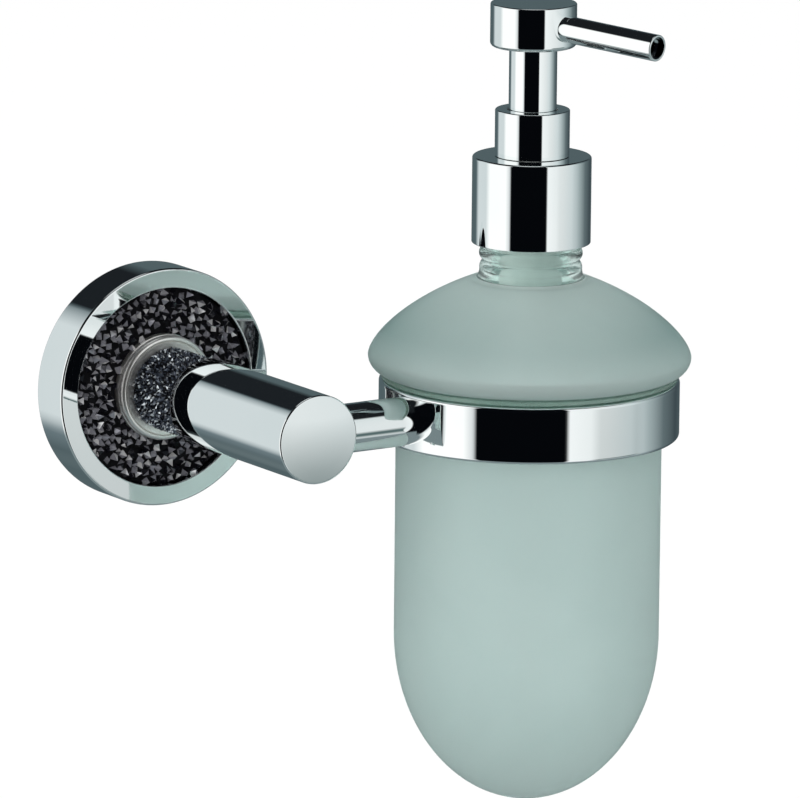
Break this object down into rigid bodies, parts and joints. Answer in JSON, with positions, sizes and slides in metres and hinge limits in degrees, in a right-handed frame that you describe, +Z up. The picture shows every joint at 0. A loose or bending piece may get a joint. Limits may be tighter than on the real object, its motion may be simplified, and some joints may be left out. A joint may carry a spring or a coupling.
{
  "type": "wall mounted soap dispenser",
  "caption": "Wall mounted soap dispenser: a jewelled round wall rosette and chrome arm hold a ring, and in it hangs a frosted glass bottle with a chrome push pump and spout.",
  "frame": {"origin": "centre of the wall plate's back face, on the axis of the stub arm, in the plane of the wall", "axes": "+Z up, -Y out from the wall towards the user, +X along the wall from the rosette towards the bottle"},
  "size_m": [0.143, 0.1211, 0.2099],
  "materials": {
    "chrome": "polished",
    "nickel": "satin warm nickel",
    "zinc_steel": "zinc plated",
    "black_crystal": "faceted black crystal stones",
    "frosted_glass": "frosted body, clear neck",
    "liner_plastic": "translucent",
    "white_plastic": "moulded",
    "gasket_rubber": "matte",
    "stainless": "ground ball"
  },
  "bodies": {
    "wall_mount": {"wall_plate": "zinc_steel", "wall_screw_left": "zinc_steel", "wall_screw_right": "zinc_steel", "rosette_cup": "chrome", "crystal_disc": "black_crystal", "collar_ring": "nickel", "rosette_grub": "zinc_steel", "arm_stud": "zinc_steel", "spacer_tube": "zinc_steel", "crystal_sleeve": "black_crystal", "arm_barrel": "chrome", "side_arm": "chrome", "side_arm_grub": "zinc_steel", "bottle_ring": "chrome", "ring_liner": "liner_plastic", "ring_screw": "zinc_steel"},
    "bottle": {"glass_bottle": "frosted_glass"},
    "pump": {"pump_housing": "white_plastic", "neck_gasket": "gasket_rubber", "dip_tube": "white_plastic", "guide_collar": "chrome", "return_spring": "zinc_steel"},
    "pump_collar": {"screw_collar": "chrome", "collar_insert": "white_plastic"},
    "check_ball": {"inlet_ball": "stainless"},
    "plunger": {"stem": "white_plastic", "piston": "white_plastic", "trim_tube": "chrome"},
    "spray_head": {"pump_head": "chrome", "nozzle": "chrome"}
  },
  "joints": [
    {"name": "bottle_lift", "type": "slide", "parent": "wall_mount", "child": "bottle", "axis": [0, 0, 1], "range_m": [0, 0.115]},
    {"name": "pump_lift", "type": "slide", "parent": "bottle", "child": "pump", "axis": [0, 0, 1], "range_m": [0, 0.00944]},
    {"name": "collar_turn", "type": "hinge", "parent": "pump", "child": "pump_collar", "pos_m": [0.06965, -0.0792, 0.0432], "axis": [0, 0, 1], "range_deg": [0, 810]},
    {"name": "ball_lift", "type": "slide", "parent": "pump", "child": "check_ball", "axis": [0, 0, 1], "range_m": [0, 0.0015]},
    {"name": "plunger_press", "type": "slide", "parent": "pump", "child": "plunger", "axis": [0, 0, 1], "range_m": [-0.014, 0], "stiffness_N_per_m": 600, "springref_m": 0.002, "deforming": ["return_spring"]},
    {"name": "head_swivel", "type": "hinge", "parent": "plunger", "child": "spray_head", "pos_m": [0.06965, -0.0792, 0.0944], "axis": [0, 0, 1], "continuous": true}
  ],
  "couplings": [
    {"joint": "collar_turn", "follows": "pump_lift", "rad_per_m": 1496}
  ]
}
